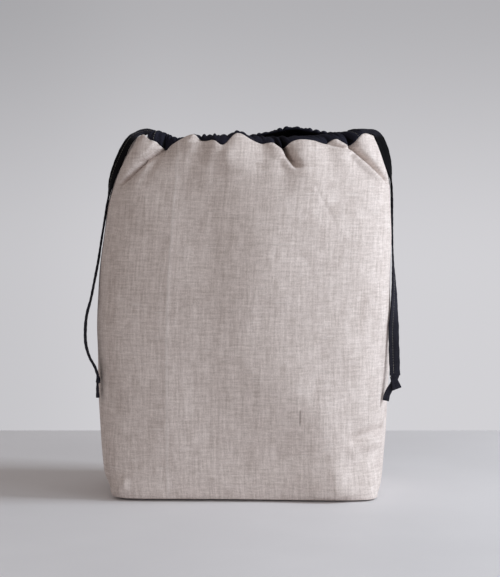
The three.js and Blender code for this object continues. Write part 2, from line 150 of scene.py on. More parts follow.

# %% [markdown]
# ## Ties
# Each tie is a strip of navy cotton, folded in on itself and stitched down its middle, about 10 mm wide. It comes
# out of the casing, turns over the shoulder of the bag and hangs down its side. A curve with a bevel would twist
# freely, so the strip is swept along its listed route: each row gives a place and the way the flat side looks.

# %% Routes of the ties
TIE_WIDTH, TIE_THICK, TIE_STEP = 10, 1.7, 1.6
TIE_WIDTHS = [6] + [TIE_WIDTH] * 16  # narrower where it comes out of the casing
TIES = {  # place, then the way that the flat side looks
    "tie_left": [
        (-81, -13.5, 338.5, 0, -0.65, 0.75),
        (-87, -9.5, 341.2, 0, -0.55, 0.83),
        (-93, -6.5, 341.9, 0, -0.58, 0.8),
        (-97.6, -6.5, 341, -0.25, -0.62, 0.74),
        (-103.6, -13.4, 338.6, -0.45, -0.7, 0.55),
        (-109, -19, 332.4, -0.58, -0.74, 0.28),
        (-113.5, -19.2, 324.3, -0.6, -0.79, 0.1),
        (-117.9, -18.8, 314.7, -0.6, -0.79, 0.1),
        (-122, -17.6, 305.2, -0.7, -0.71, 0.1),
        (-125.4, -15.8, 295.7, -0.84, -0.53, 0.1),
        (-127.4, -14.8, 286.2, -0.97, -0.25, 0.05),
        (-129.3, -14.5, 276.5, -1, -0.05, 0),
        (-132.3, -16, 257.8, -1, -0.04, 0),
        (-135.3, -18, 238.8, -1, -0.03, 0.05),
        (-138, -21, 220.1, -1, 0, 0.1),
        (-141.4, -25, 201.4, -1, 0, 0.12),
        (-144.9, -30, 182.8, -1, 0, 0.15),
        (-147.9, -33, 171, -1, 0.03, 0.1),
        (-149.2, -36, 157, -1, 0.05, 0),
        (-148.2, -39.5, 141.3, -1, 0.05, -0.1),
        (-144.6, -42, 130.5, -0.95, 0, -0.3),
        (-139.4, -44.5, 121.5, -0.92, 0, -0.4),
        (-136.8, -45.5, 114, -1, 0, -0.15),
    ],
    "tie_right": [
        (96.5, -13, 339, 0, -0.65, 0.75),
        (103, -9, 341.2, 0, -0.55, 0.83),
        (110, -6.5, 342.2, 0, -0.5, 0.86),
        (117, -5.6, 342, 0.1, -0.5, 0.86),
        (123.5, -7.6, 341, 0.4, -0.6, 0.7),
        (128.4, -12, 334.2, 0.42, -0.84, 0.3),
        (131.9, -13.8, 324.4, 0.4, -0.9, 0),
        (134.5, -14.7, 314.9, 0.6, -0.8, 0),
        (137.4, -13, 305.3, 0.9, -0.43, 0),
        (139, -11, 295.8, 1, -0.08, 0),
        (139.8, -10, 284, 1, 0, 0),
        (140.2, -9, 264, 1, 0, 0),
        (140.5, -10, 243, 1, -0.05, 0),
        (141, -14, 220, 1, -0.14, 0),
        (141.5, -24, 190, 0.84, -0.55, 0),
        (140.8, -31.5, 174, 0.65, -0.76, 0),
        (140, -38, 158, 0.2, -0.98, 0),
        (140.2, -41.5, 137, 0, -1, 0),
        (140.9, -44, 114, 0.1, -1, 0),
    ],
}


def along_route(route, step):
    """Even steps along a route: how far, where, and the ways across and out of the flat side."""
    route = np.array(route, float)
    run = np.r_[0, np.cumsum(np.linalg.norm(np.diff(route[:, :3], axis=0), axis=1))]
    far = np.linspace(0, run[-1], round(run[-1] / step) + 1)
    found = smooth(np.c_[run, route], far)
    ahead = unit(np.gradient(found[:, :3], axis=0))
    across = unit(np.cross(ahead, found[:, 3:]))
    return far, found[:, :3], across, np.cross(across, ahead)


for name, route in TIES.items():
    print(f"{name}: {along_route(route, TIE_STEP)[0][-1]:.0f} mm long")

# %% Section of the folded strip
STRIP_SECTION = [
    (0.9, 0), (0.99, 0.3), (1, 0.62), (0.95, 0.92), (0.85, 1), (0.55, 1), (0.37, 0.88), (0.25, 0.7),
    (0.13, 0.88), (-0.1, 1), (-0.82, 1), (-0.96, 0.75), (-1, 0),
]
STITCH_AT = 0.25  # share of half the width
LAYER_WEAVE = 40  # so that the two sides have different threads


def folded_strip(name, route, widths, thick, step):
    """A closed strip swept along a route, with a slit on its open edge and a groove where it is stitched."""
    far, middle, across, out = along_route(route, step)
    section = np.array(STRIP_SECTION + [(u, -v) for u, v in STRIP_SECTION[-2:0:-1]])
    width = smooth(np.c_[np.linspace(0, far[-1], len(widths)), widths], far)[:, 0]
    pucker = 1 + 0.1 * np.sin(far * 1.05) + 0.06 * np.sin(far * 0.37 + 2)
    edge = width * (1 + 0.025 * np.sin(far * 0.55) + 0.02 * np.sin(far * 0.23 + 1)) / 2
    u = edge[:, None] * section[:, 0]
    v = pucker[:, None] * section[:, 1] * thick / 2
    points = middle[:, None] + across[:, None] * u[..., None] + out[:, None] * v[..., None]
    rows, count = u.shape
    faces = grid_faces(rows, count, closed=True)
    faces += [list(range(count))[::-1], list(range((rows - 1) * count, rows * count))]
    weave = np.stack(np.broadcast_arrays(u + LAYER_WEAVE * np.sign(v), far[:, None]), -1)
    piece = cloth_mesh(name, points, faces, weave)
    merge_doubles(piece, closed=True)
    return piece, middle, out, across


ties, tie_lines = {}, {}
for name, route in TIES.items():
    ties[name], middle, out, across = folded_strip(f"cloth_{name}", route, TIE_WIDTHS, TIE_THICK, TIE_STEP)
    tie_lines[name] = (middle, out, across)
    print(ties[name].name, len(ties[name].data.polygons), "faces")

# %% [markdown]
# ## Knots
# A plain overhand knot closes each tie, and a short tail sticks out below. Pulled tight, such a knot is a pinched
# waist with one fold of the strip beside it. The same sweep makes both in two runs: the strip that narrows at the
# waist and comes out as the tail, and the fold.

# %% Knots
KNOT_THICK, KNOT_STEP = 1.9, 0.7
KNOTS = {  # the strip with its tail, then the fold: place, and the way that the flat side looks
    "knot_left": [
        [(-137.1, -45.4, 115.5, -1, 0, -0.15), (-137.1, -45.7, 112, -1, -0.2, 0),
         (-137.1, -46.1, 108.5, -1, -0.2, 0), (-137.2, -46.3, 104, -1, -0.25, 0),
         (-137.1, -46.6, 99.5, -0.98, -0.3, 0), (-136.8, -47.1, 93.5, -0.9, -0.45, 0)],
        [(-135.2, -42.6, 111.6, 0.2, 0.9, 0.3), (-136.8, -43.2, 111.2, -0.9, 0.4, 0.2),
         (-137.5, -45.8, 110.4, -1, -0.1, 0.1), (-137.2, -48.4, 109.6, -0.9, -0.5, 0.1),
         (-136, -49.2, 109.2, 0.1, -1, 0), (-135.2, -46.9, 109.2, 1, -0.2, 0)],
    ],
    "knot_right": [
        [(140.9, -43.9, 116, 0.1, -1, 0), (140.8, -44.4, 112, 0.1, -1, 0), (139.8, -44.8, 108.5, 0.1, -1, 0.1),
         (138, -45.4, 104.5, 0.2, -1, 0), (135.4, -46.2, 100.4, 0.1, -1, 0), (133.2, -47.4, 96, 0, -1, -0.1),
         (132, -48.8, 91, -0.15, -1, 0)],
        [(138.6, -44.5, 113.5, -0.3, -0.9, 0.3), (139.6, -46.9, 111, 0, -1, 0.2), (140.8, -47.3, 107.5, 0.1, -1, 0.1),
         (141.8, -46.8, 104.5, 0.15, -1, 0), (142.6, -46.2, 101.9, 0.2, -1, 0)],
    ],
}
KNOT_WIDTHS = {
    "knot_left": [(9, 6, 5, 5.2, 5.8, 6.4), (3.4, 3.6, 3.6, 3.6, 3.4, 3.2)],
    "knot_right": [(9.4, 6.4, 5.6, 5.8, 6, 6, 5.8), (5, 6, 7.2, 8.4, 9.2)],
}

knots = {}
for name, runs in KNOTS.items():
    parts = [folded_strip(f"{name}_{i}", run, widths, KNOT_THICK, KNOT_STEP)[0]
             for i, (run, widths) in enumerate(zip(runs, KNOT_WIDTHS[name]))]
    with bpy.context.temp_override(active_object=parts[0], selected_editable_objects=parts):
        bpy.ops.object.join()
    parts[0].name = f"cloth_{name}"
    knots[name] = parts[0]
    print(parts[0].name, len(parts[0].data.polygons), "faces")

# %% [markdown]
# ## Linen panels
# The body is two panels of natural linen, each with its half of the base, sewn together down the middle of each
# side. A simulation would hang the cloth its own way, and this bag's folds are known, so the panels are lofted
# instead: level outlines from a table of sizes, then each pleat and crease laid in one by one.

# %% Sizes of the body
RIM = 333
BODY = [  # height, left, right, front, back, squareness of the corners
    (0, 121.8, 122.8, 66, 66, 10), (5, 125.3, 126.3, 67.4, 67.4, 8), (16, 130.5, 129.7, 69.4, 69.4, 5.8),
    (33, 133.4, 131.9, 71.2, 71.2, 4.6), (56, 135.6, 134, 72.6, 72.6, 4), (90, 137.8, 136.6, 74, 74, 3.6),
    (135, 140, 138, 75, 75, 3.3), (180, 139.7, 139, 75, 75, 3.1), (228, 136, 139.2, 73, 73, 3),
    (256, 131.5, 139, 69.5, 69.5, 2.9), (278, 128.5, 138.9, 65.5, 65.5, 2.8), (296, 123.8, 138, 61, 61, 2.7),
    (311, 118, 133.4, 56, 56, 2.7), (324, 111.5, 128, 50, 50, 2.7), (333, 107, 123.5, 45, 46, 2.7),
]
EDGE = {  # along the panel from its middle, height of the sewn edge
    "front": [
        (-138, 334), (-125, 334.5), (-115, 337), (-107, 338.8), (-100, 333.8), (-97, 333), (-92.6, 330.2),
        (-89.2, 325), (-79, 329.4), (-67.5, 335.2), (-61, 338.1), (-55, 338.7), (-49.5, 333.4), (-46, 332.7),
        (-35, 333), (-29, 329), (-15, 339.8), (0, 333), (7, 329.9), (18, 330.6), (26, 324.5), (35, 331.5),
        (55, 333), (66.6, 329.6), (77, 334.4), (91, 326.8), (106, 339.6), (118, 338.8), (138, 336),
    ],
    "back": [
        (-138, 335.5), (-112, 338), (-90, 326), (-70, 336), (-43, 334), (-30, 328), (-14, 336), (9, 333), (24, 337),
        (42, 328.5), (58, 336), (86, 326.5), (110, 337.5), (138, 335.5),
    ],
}
FOOT = 3.2  # height of the lower edge, where the cloth turns under
TUCK = np.array([0.1, 0.2])  # share of the width and of the depth that it turns in
COLUMNS = 321
HEIGHTS = np.r_[
    0, 0.2, 0.6, 1.2, 2.1, FOOT, 3.6, 4.2, 5.4, 7, 9, 11.5, 14, 17,
    np.linspace(20, 252, 64)[:-1], np.linspace(252, RIM, 70),
]


def outline(height, shares):
    """Places at shares of a level outline that starts at the left seam, the way along it, and its girth."""
    left, right, front, back, square = smooth(BODY, height)
    turn = np.pi * (1 + 2 * np.linspace(0, 1, 4001))
    c, s = np.cos(turn), np.sin(turn)
    across = np.abs(c) / np.where(c < 0, left, right)
    deep = np.abs(s) / np.where(s < 0, front, back)
    ring = np.stack([c, s], -1) * ((across**square + deep**square) ** (-1 / square))[:, None]
    run = np.r_[0, np.cumsum(np.linalg.norm(np.diff(ring, axis=0), axis=1))]
    at = shares * run[-1]
    step = 0.002 * run[-1]
    place, ahead, behind = (
        np.stack([np.interp(there, run, ring[:, i]) for i in (0, 1)], -1)
        for there in (at, (at + step) % run[-1], (at - step) % run[-1])
    )
    return place, unit(ahead - behind), run[-1]


print("girth at the middle:", round(outline(180, np.zeros(1))[2]), "mm")

# %% Pleats and hollows of the gathered top
PLEATS = {  # the fold's line (along, height); depth, share of it at the notch, steepness, width, overlap, side
    "front": [
        ([(-95, 334), (-99.3, 325), (-108, 319.6), (-116.5, 314.5), (-128, 304.2), (-139, 294.8), (-146, 289)],
         3.2, 1, 4.5, 12, 0, 1),
        ([(-86, 332), (-90.5, 325), (-99.5, 319.6), (-108, 314.5), (-120, 304.2), (-131, 294.8), (-135, 290.5)],
         6, 1, 0.9, 4.6, 1.6, 1),
        ([(-93, 337), (-96, 332), (-104, 324), (-114, 313)], 1.2, 1, 1.6, 6, 0.8, 1),
        ([(17, 333), (20, 330.3), (26.1, 325.6), (29.9, 317.8), (36.5, 310.5), (40, 306.5)],
         22, 0.7, 1.2, 4.2, 3.4, 1),
        ([(64, 332), (66.6, 330), (72, 328), (79.3, 326.6), (92, 323)], 5, 1, 1.2, 6, 1.6, 1),
        ([(89, 329), (91.5, 325.5), (97.4, 320.6), (104.6, 315), (116.7, 306.4), (124.8, 301), (135.3, 295.4),
          (140, 292)], 24, 0.6, 1.2, 4.8, 3.2, 1),
    ],
    "back": [
        ([(-84, 327), (-87, 325), (-99, 316), (-114, 304), (-133, 291), (-146, 283)], 9, 0.8, 1.6, 10, 2.6, -1),
        ([(-19, 331), (-22, 328), (-28, 320), (-35, 306)], 8, 0.8, 1.6, 8, 2.5, -1),
        ([(36, 331), (39, 328.5), (44, 321), (50, 308)], 7, 0.8, 1.6, 8, 2, 1),
        ([(80, 329), (83, 326.5), (97, 314), (111, 303), (128, 291), (146, 281)], 9, 0.8, 1.6, 10, 2.6, 1),
    ],
}
NICK = {  # start, foot, end, lowest height, depth
    "front": (-61.7, -49, -38, 332.2, 7.5),
    "back": (30, 42, 50, 331, 3),
}
HOLLOWS = {  # top, foot, reach down, depth, width
    "front": [(-28.5, -30, 5, 1, 2.4), (8, 14, 40, 1.0, 9)],
    "back": [(-56, -60, 16, 1.5, 6), (8, 4, 40, 1.5, 9), (66, 72, 34, 1, 8)],
}
LIP = 0.13  # the cloth beside a pleat stands out by this share of its depth


def pleat(along, z, line, depth, first, steep, wide, over, side):
    """How far a pleat takes the cloth in, and how far it moves it sideways over the hollow."""
    line = np.array(line, float)
    fold = np.interp(z, line[::-1, 1], line[::-1, 0]) - 0.9 * side * over
    down = np.clip((line[0, 1] - z) / (line[0, 1] - line[-1, 1]), 0, 1)
    fade = (1 - down**4) * (first + (1 - first) * ease(down, 0, 0.5))
    steep = steep * (1 + 0.5 * down)
    offset = (along - fold) * side
    bottom = 2.2 * steep
    dent = bell((offset - bottom) / np.where(offset < bottom, steep, wide))
    lip = bell((offset + 0.6 * steep) / (2.6 * steep))
    return fade * depth * (dent - LIP * lip), side * fade * over * bell(offset / (1.7 * steep))


def nick(along, z, start, foot, end, low, depth):
    """A small flat facet at the sewn edge, where the casing pulls the linen in at one stitch."""
    edge = np.minimum(start + 0.95 * (z - low), foot - 1)
    ramp = np.minimum((along - edge) / (foot - edge), (end - along) / (end - foot))
    return depth * np.clip(ramp, 0, 1) * ease(z, low - 1, low + 1)


def hollow(along, z, top, foot, reach, depth, wide):
    """How far a hollow below the sewn edge takes the cloth in; it widens and fades on its way down."""
    down = np.clip((RIM - z) / reach, 0, 1)
    return depth * (1 - down**2) ** 1.5 * bell((along - top - (foot - top) * down) / (wide * (1 + 0.5 * down)))


for panel in PLEATS:
    print(panel, len(PLEATS[panel]), "pleats and", len(HOLLOWS[panel]), "hollows")

# %% Creases in the body of the cloth
CREASES = {  # a line (along, height), then depth, width and width to its right; a negative depth stands out
    "front": [
        ([(-4, 300), (6, 250), (8, 222), (8, 186), (14, 140)], -5, 34),
        ([(48, 100), (66, 76), (76, 48), (82, 12)], -6.5, 26, 14),
        ([(48, 318), (44, 270), (30, 235), (20, 200)], -4, 26), ([(-126, 150), (-126, 30)], -2.5, 20),
        ([(-66, 300), (-66, 40)], -1.2, 13), ([(-70.5, 300), (-70.5, 12)], -0.3, 1.6),
        ([(-70, 294), (-50, 294)], -0.25, 1.6), ([(-92, 280), (-100, 120)], 1.2, 20),
        ([(138, 62.4), (119, 60.4), (103, 56)], 5, 3.6), ([(134, 53), (118, 51.5), (104, 47)], -2.6, 5),
        ([(130, 46), (112, 42)], 1.6, 5), ([(84, 26), (86, 4)], -2, 4, 9),
        ([(100, 30), (88, 10), (84, -4)], 1.2, 7), ([(128, 36), (118, 20), (112, 6)], 1.0, 9),
        ([(-160, 6), (-132, 14), (-110, 26)], 2.2, 6), ([(-123, 0), (-116, 8), (-110, 14)], -2.6, 6, 3),
        ([(-29, 330), (-27, 324)], -6, 9, 6), ([(48, 322), (48, 302)], -3, 13, 14),
        ([(-64, 326), (-58, 292), (-52, 262)], 4.4, 42, 30), ([(-68, 330), (-65, 300)], 3, 24, 11),
        ([(-109, 313.5), (-122, 301.8), (-128.5, 294.5)], 3.4, 1.6),
        ([(57, 293), (71, 272), (78, 262)], 0.4, 1.6), ([(75, 264), (90, 239)], 0.4, 1.6),
        ([(62, 292), (92, 240)], -0.4, 4), ([(38, 244), (48, 238), (56, 240)], 0.6, 2),
        ([(44, 232), (54, 226), (60, 214)], 0.5, 2.2), ([(108, 268), (128, 258)], 0.8, 3),
        ([(66, 292), (98, 236)], 0.6, 12),
    ],
    "back": [
        ([(-160, 36), (-132, 54), (-108, 62)], 2.5, 9), ([(48, 288), (66, 258), (84, 226)], 1.6, 9),
        ([(-70, 280), (-96, 232)], 1, 4), ([(70, 12), (96, 40), (128, 52)], 1.6, 8), ([(20, 220), (30, 70)], 1, 28),
        ([(-150, 8), (-112, 26)], 1.8, 6), ([(-40, 250), (-52, 120)], 1, 24),
        ([(0, 300), (-12, 220), (6, 120)], -4, 34),
    ],
}


def crease(along, z, line, depth, left, right=None):
    """How far a crease takes the cloth in, by the distance from its line."""
    near = np.full(along.shape, np.inf)
    for (a, h), (b, g) in zip(line, line[1:]):
        share = np.clip(((along - a) * (b - a) + (z - h) * (g - h)) / ((b - a) ** 2 + (g - h) ** 2), 0, 1)
        away, below = along - a - share * (b - a), z - h - share * (g - h)
        near = np.minimum(near, np.hypot(away / np.where(away > 0, right or left, left), below / left))
    return depth * bell(near) * ease(z, 0, 8)


def slack(along, z):
    """Low uneven swells that any hanging cloth has."""
    wave = np.random.default_rng(7)
    total = np.zeros(along.shape)
    for _ in range(9):
        tilt, length, start = wave.uniform(0, np.pi), wave.uniform(34, 110), wave.uniform(0, 6.28)
        total += 0.006 * length * np.sin((along * np.cos(tilt) + z * np.sin(tilt)) * 6.28 / length + start) / 2
    return total * ease(z, 0, 40) * (1 - 0.7 * ease(z, 240, 310))


for panel in CREASES:
    print(panel, len(CREASES[panel]), "creases")


# %% Lofting a panel
LINEN_THICK = 1.4
WAVY_FROM = 0.82  # share of the height above which the sewn edge's waves are felt
SAG, SAG_TOP = 1.5, 30  # the front's lower edge hangs lower at its right end, up to this height
BULGE, BULGE_GROWS, BULGE_TOP = 5.4, 0.02, 46  # the swell above the lower edge, more towards one side
SEAM_DEPTH, SEAM_WIDTH = 1.1, 1.2
BASE_RINGS = (0, 0.2, 0.45, 0.7, 0.88, 0.97)  # shares of the lower edge's size
WEAVE_START = {"front": 0, "back": 420}  # so that the two panels have different threads
BASE_WEAVE = -150


def panel_points(panel):
    """Points of a panel's outer side from the middle of the base up to its sewn edge, and its weave map."""
    start = 0.5 if panel == "back" else 0
    shares = np.linspace(0, 0.5, COLUMNS) + start
    from_middle = shares - (start + 0.25)
    lift = smooth(EDGE[panel], from_middle * outline(RIM, shares)[2])[:, 0] - RIM
    rows, weave = [], []
    for height in HEIGHTS:
        place, forward, girth = outline(height, shares)
        along = from_middle * girth
        z = height + ease(height / RIM, WAVY_FROM, 1) * lift
        if panel == "front":
            right = ease(along, -40, 100) * (1 - ease(along, 120, 142))
            z = z - SAG * right * ease(height, 0, FOOT) * (1 - ease(height, FOOT, SAG_TOP))
        inward, aside = slack(along, z), np.zeros(COLUMNS)
        from_seam = np.minimum(along - along[0], along[-1] - along)
        held = ease(from_seam, 2, 14)
        for row in PLEATS[panel]:
            deep, over = pleat(along, z, *row)
            inward, aside = inward + held * deep, aside + held * over
        inward = inward + nick(along, z, *NICK[panel])
        for row in HOLLOWS[panel]:
            inward = inward + hollow(along, z, *row)
        for row in CREASES[panel]:
            inward = inward + crease(along, z, *row)
        inward = inward + SEAM_DEPTH * bell(from_seam / SEAM_WIDTH) * ease(z, 0, 6)
        bulge = (BULGE + BULGE_GROWS * along) * (1 - ease(np.abs(along), 110, 132))
        inward = inward - bulge * ease(height, 0, FOOT) * (1 - ease(height, FOOT, BULGE_TOP))
        out = np.stack([forward[:, 1], -forward[:, 0]], -1)
        flat = place - out * inward[:, None] + forward * aside[:, None]
        under = 1 - min(height / FOOT, 1)
        flat = flat * (1 - TUCK * (1 - np.sqrt(1 - under * under)))
        rows.append(np.c_[flat, z])
        weave.append(np.c_[along + WEAVE_START[panel], z])
    base = [rows[0] * [s, s, 0] for s in BASE_RINGS]
    return np.array(base + rows), np.array([row[:, :2] + [0, BASE_WEAVE] for row in base] + weave)


panels, rims = {}, {}
for panel in ("front", "back"):
    points, weave = panel_points(panel)
    rims[panel] = points[-1]
    piece = cloth_mesh(f"cloth_linen_{panel}", points, grid_faces(*points.shape[:2]), weave)
    merge_doubles(piece, closed=False)
    thicken(piece, LINEN_THICK)
    panels[panel] = piece
    print(piece.name, len(piece.data.polygons), "faces before its thickness")

# %% [markdown]
# ## Casings
# A navy cotton band is sewn to each panel's edge and folded over the drawstring, which ruches it into uneven
# gathers. Close to the linen it still lies smooth. Each casing is one sheet: over the top, round the fold at the
# mouth and back below, with gathers whose spacing comes from a fixed seed.

# %% Inner edges of the casings
CASING_ENDS = {"front": (13 / 208, 92.5 / 208), "back": (118 / 208, 192 / 208)}  # shares of the girth
MOUTH = {  # places along the fold at the mouth
    "front": [(-84, -10.5, 340.6), (-77, -13, 340), (-72, -15, 338.4), (-68, -16.5, 336.2), (-60, -18.5, 333.4),
              (-54, -19.5, 331.8), (-46, -20.5, 334.5), (-15, -21.5, 337), (8, -21, 335.5), (45, -20.5, 334.5),
              (70, -18.5, 337), (82, -15.5, 338.8), (90, -12.5, 340.2), (98, -9, 340.8)],
    "back": [(101, 10, 339.5), (91, 15, 340), (76, 20, 341.6), (63, 23, 343.8), (48, 24.5, 346.4), (34, 25, 344.3),
             (17, 25, 340.8), (8, 25, 339.3), (-20, 24.5, 336.5), (-55, 21, 333.5), (-76, 16, 337), (-88, 10.5, 338)],
}
CASING_COLUMNS, CASING_ROWS = 420, 14
CASING_THICK = 0.7
HALF_BAND = 23  # from the outer seam to the fold at the mouth
FULLNESS = 1.4  # cloth along the band for each millimetre of its gathered length
HIDDEN_AT = -55  # here the front's sewn edge hides the band
RUCHE_DEPTH, RUCHE_LEVEL = 1.9, 0.42  # how far the gathers stand out, and the height in them that stays put
FOLD = 1.1  # how far the fold at the mouth reaches beyond the last row
SECTION = [(0, 1.2, 0), (0.3, 2, 0.12), (0.55, 3.8, 0.7), (0.8, 4.2, 1), (1, 2.6, 1)]  # share, thickness, gathers


def gathers(at, spacing, seed):
    """Uneven rounded gathers with sharp valleys between them, from 0 to 1, at places along the band."""
    draw = np.random.default_rng(seed)
    stops = np.cumsum(draw.uniform(0.5, 1.5, 400)) * spacing
    heights = draw.uniform(0.3, 1, 400)
    k = np.searchsorted(stops, at)
    low = np.where(k > 0, stops[k - 1], 0)
    return heights[k] * np.abs(np.sin(np.pi * (at - low) / (stops[k] - low))) ** 0.75


print("gathers start at", gathers(np.array([1.0, 3.0, 5.0]), 6.8, 3).round(2))


# %% Ruched sheets
def casing_points(panel, seed, spacing, rise):
    """Points of a casing, row by row from the outer seam over the fold to the inner seam."""
    first, last = CASING_ENDS[panel]
    start_share = 0 if panel == "front" else 0.5
    at = np.linspace(first, last, CASING_COLUMNS)
    columns = (at - start_share) / 0.5 * (COLUMNS - 1)
    start = np.stack([np.interp(columns, np.arange(COLUMNS), rims[panel][:, i]) for i in range(3)], -1)
    mouth = np.array(MOUTH[panel], float)
    run = np.r_[0, np.cumsum(np.linalg.norm(np.diff(mouth, axis=0), axis=1))]
    far = np.linspace(0, run[-1], CASING_COLUMNS)
    end = smooth(np.c_[run, mouth], far)
    inwards = unit((end - start) * [1, 1, 0])
    dip = bell((start[:, 0] - HIDDEN_AT) / 8) * (panel == "front")
    start = start + inwards * (0.7 + 0.5 * dip[:, None]) + np.c_[0 * dip, 0 * dip, 0.1 - 1.6 * dip]
    outer, inner = gathers(far, spacing, seed), gathers(far, spacing, seed + 1)
    end[:, 2] += rise * ((inner if panel == "back" else outer) - 0.5)
    bend = start.copy()
    bend[:, 2] = np.maximum(start[:, 2] + 2.2 * (1 - dip), end[:, 2])
    layers = []
    for side, ruche in ((1, outer), (-1, inner)):
        layer = []
        for share in np.linspace(0, 1, CASING_ROWS):
            thick, full = smooth(SECTION, share)
            middle = (1 - share) ** 2 * start + 2 * share * (1 - share) * bend + share**2 * end
            ahead = unit((1 - share) * (bend - start) + share * (end - bend) + 1e-6)
            level = np.sum(ahead * inwards, -1)
            normal = unit(np.c_[inwards[:, :2] * -ahead[:, 2:3], level])
            lift = side * (thick / 2 + RUCHE_DEPTH * full * (ruche - RUCHE_LEVEL))
            layer.append(middle + normal * lift[:, None])
        layers.append(layer)
    over, under = layers
    tip = (over[-1] + under[-1]) / 2 + ahead * FOLD
    rows = np.array(over + [tip] + under[::-1])
    outer_rows = np.linspace(0, HALF_BAND - 1, CASING_ROWS)
    inner_rows = np.linspace(HALF_BAND + 1, 2 * HALF_BAND, CASING_ROWS)
    from_seam = np.r_[outer_rows, HALF_BAND, inner_rows]
    weave = np.stack(np.broadcast_arrays(far[None] * FULLNESS, from_seam[:, None]), -1)
    return rows, weave


RUCHES = {"front": (11, 4.8, 0.9), "back": (23, 6.4, 2)}  # seed, spacing of the gathers, rise of the top edge
HEM = 13  # points from each end to the hem's stitches, and rows that they cross

casings, hems = {}, {}
for panel, ruche in RUCHES.items():
    points, weave = casing_points(panel, *ruche)
    hems[panel] = [points[:HEM, HEM - 1], points[:HEM, -HEM]]
    piece = cloth_mesh(f"cloth_casing_{panel}", points, grid_faces(*points.shape[:2]), weave)
    thicken(piece, CASING_THICK)
    casings[panel] = piece
    print(piece.name, len(piece.data.polygons), "faces before its thickness")

# %% [markdown]
# ## Stitches
# Pale thread runs down the middle of each tie and across the hemmed ends of the casings. A stitch is a small
# thing repeated hundreds of times along a path, which is what Geometry Nodes are for: the path is cut into even
# steps, a low bead of thread is set on each step along the path, and the result becomes a plain mesh.

# %% Tree for a row of stitches
def stitch_tree():
    """Nodes that set a bead of thread on every step along a path."""
    tree = bpy.data.node_groups.new("row of stitches", "GeometryNodeTree")
    tree.interface.new_socket("Geometry", in_out="INPUT", socket_type="NodeSocketGeometry")
    for label in ("Pitch", "Length", "Thickness"):
        tree.interface.new_socket(label, in_out="INPUT", socket_type="NodeSocketFloat")
    tree.interface.new_socket("Thread", in_out="INPUT", socket_type="NodeSocketMaterial")
    tree.interface.new_socket("Geometry", in_out="OUTPUT", socket_type="NodeSocketGeometry")
    add, link = tree.nodes.new, tree.links.new
    given, result = add("NodeGroupInput"), add("NodeGroupOutput")
    path, steps = add("GeometryNodeMeshToCurve"), add("GeometryNodeResampleCurve")
    steps.mode = "LENGTH"
    way, align = add("GeometryNodeInputTangent"), add("FunctionNodeAlignRotationToVector")
    align.axis = "X"
    bead, size = add("GeometryNodeMeshUVSphere"), add("ShaderNodeCombineXYZ")
    bead.inputs["Segments"].default_value, bead.inputs["Rings"].default_value = 6, 5
    bead.inputs["Radius"].default_value = 0.5
    uneven = add("FunctionNodeRandomValue")
    uneven.data_type = "FLOAT"
    uneven.inputs["Min"].default_value, uneven.inputs["Max"].default_value = 0.8, 1.1
    uneven.inputs["Seed"].default_value = 5
    longer = add("ShaderNodeMath")
    longer.operation = "MULTIPLY"
    place, real = add("GeometryNodeInstanceOnPoints"), add("GeometryNodeRealizeInstances")
    finish, round_off = add("GeometryNodeSetMaterial"), add("GeometryNodeSetShadeSmooth")
    link(given.outputs["Geometry"], path.inputs["Mesh"])
    link(path.outputs["Curve"], steps.inputs["Curve"])
    link(given.outputs["Pitch"], steps.inputs["Length"])
    link(way.outputs["Tangent"], align.inputs["Vector"])
    link(given.outputs["Length"], longer.inputs[0])
    link(uneven.outputs[1], longer.inputs[1])
    link(longer.outputs[0], size.inputs["X"])
    link(given.outputs["Thickness"], size.inputs["Y"])
    link(given.outputs["Thickness"], size.inputs["Z"])
    link(steps.outputs["Curve"], place.inputs["Points"])
    link(bead.outputs["Mesh"], place.inputs["Instance"])
    link(align.outputs["Rotation"], place.inputs["Rotation"])
    link(size.outputs["Vector"], place.inputs["Scale"])
    link(place.outputs["Instances"], real.inputs["Geometry"])
    link(real.outputs["Geometry"], round_off.inputs["Geometry"])
    link(round_off.outputs["Geometry"], finish.inputs["Geometry"])
    link(given.outputs["Thread"], finish.inputs["Material"])
    link(finish.outputs["Geometry"], result.inputs["Geometry"])
    return tree


STITCHES = stitch_tree()
print("stitch tree has", len(STITCHES.nodes), "nodes")

# %% Rows of stitches
thread = bpy.data.materials.new("pale thread")


def stitch_rows(name, lines, pitch, length, thickness):
    """A plain mesh of stitches along lines of points in millimetres."""
    points = np.concatenate(lines) * MM
    ends = np.cumsum([len(line) for line in lines])
    edges = [(i, i + 1) for i in range(len(points) - 1) if i + 1 not in ends]
    mesh = bpy.data.meshes.new(name)
    mesh.from_pydata(points.tolist(), edges, [])
    made = bpy.data.objects.new(name, mesh)
    bpy.context.scene.collection.objects.link(made)
    nodes = made.modifiers.new("stitches", "NODES")
    nodes.node_group = STITCHES
    sizes = {"Pitch": pitch * MM, "Length": length * MM, "Thickness": thickness * MM, "Thread": thread}
    for item in STITCHES.interface.items_tree:
        if item.in_out == "INPUT" and item.name in sizes:
            nodes[item.identifier] = sizes[item.name]
    ready = made.evaluated_get(bpy.context.evaluated_depsgraph_get())
    plain = bpy.data.meshes.new_from_object(ready)
    made.modifiers.remove(nodes)
    made.data = plain
    print(name, len(plain.polygons), "faces")
    return made


PITCH = 2.4
TIE_STITCH, HEM_STITCH = 2.1, 1.9  # length of a stitch
THREAD = {"tie_left": 0.24, "tie_right": 0.32, "hem": 0.4}  # thickness
GROOVE = 0.39  # depth of the groove for the stitches, as a share of the tie's thickness from its middle
SHOWS_BELOW = 205  # height under which the right tie's stitches are shown, where it turns them to the front; above it they are left out, as that part of the tie is seen in shade

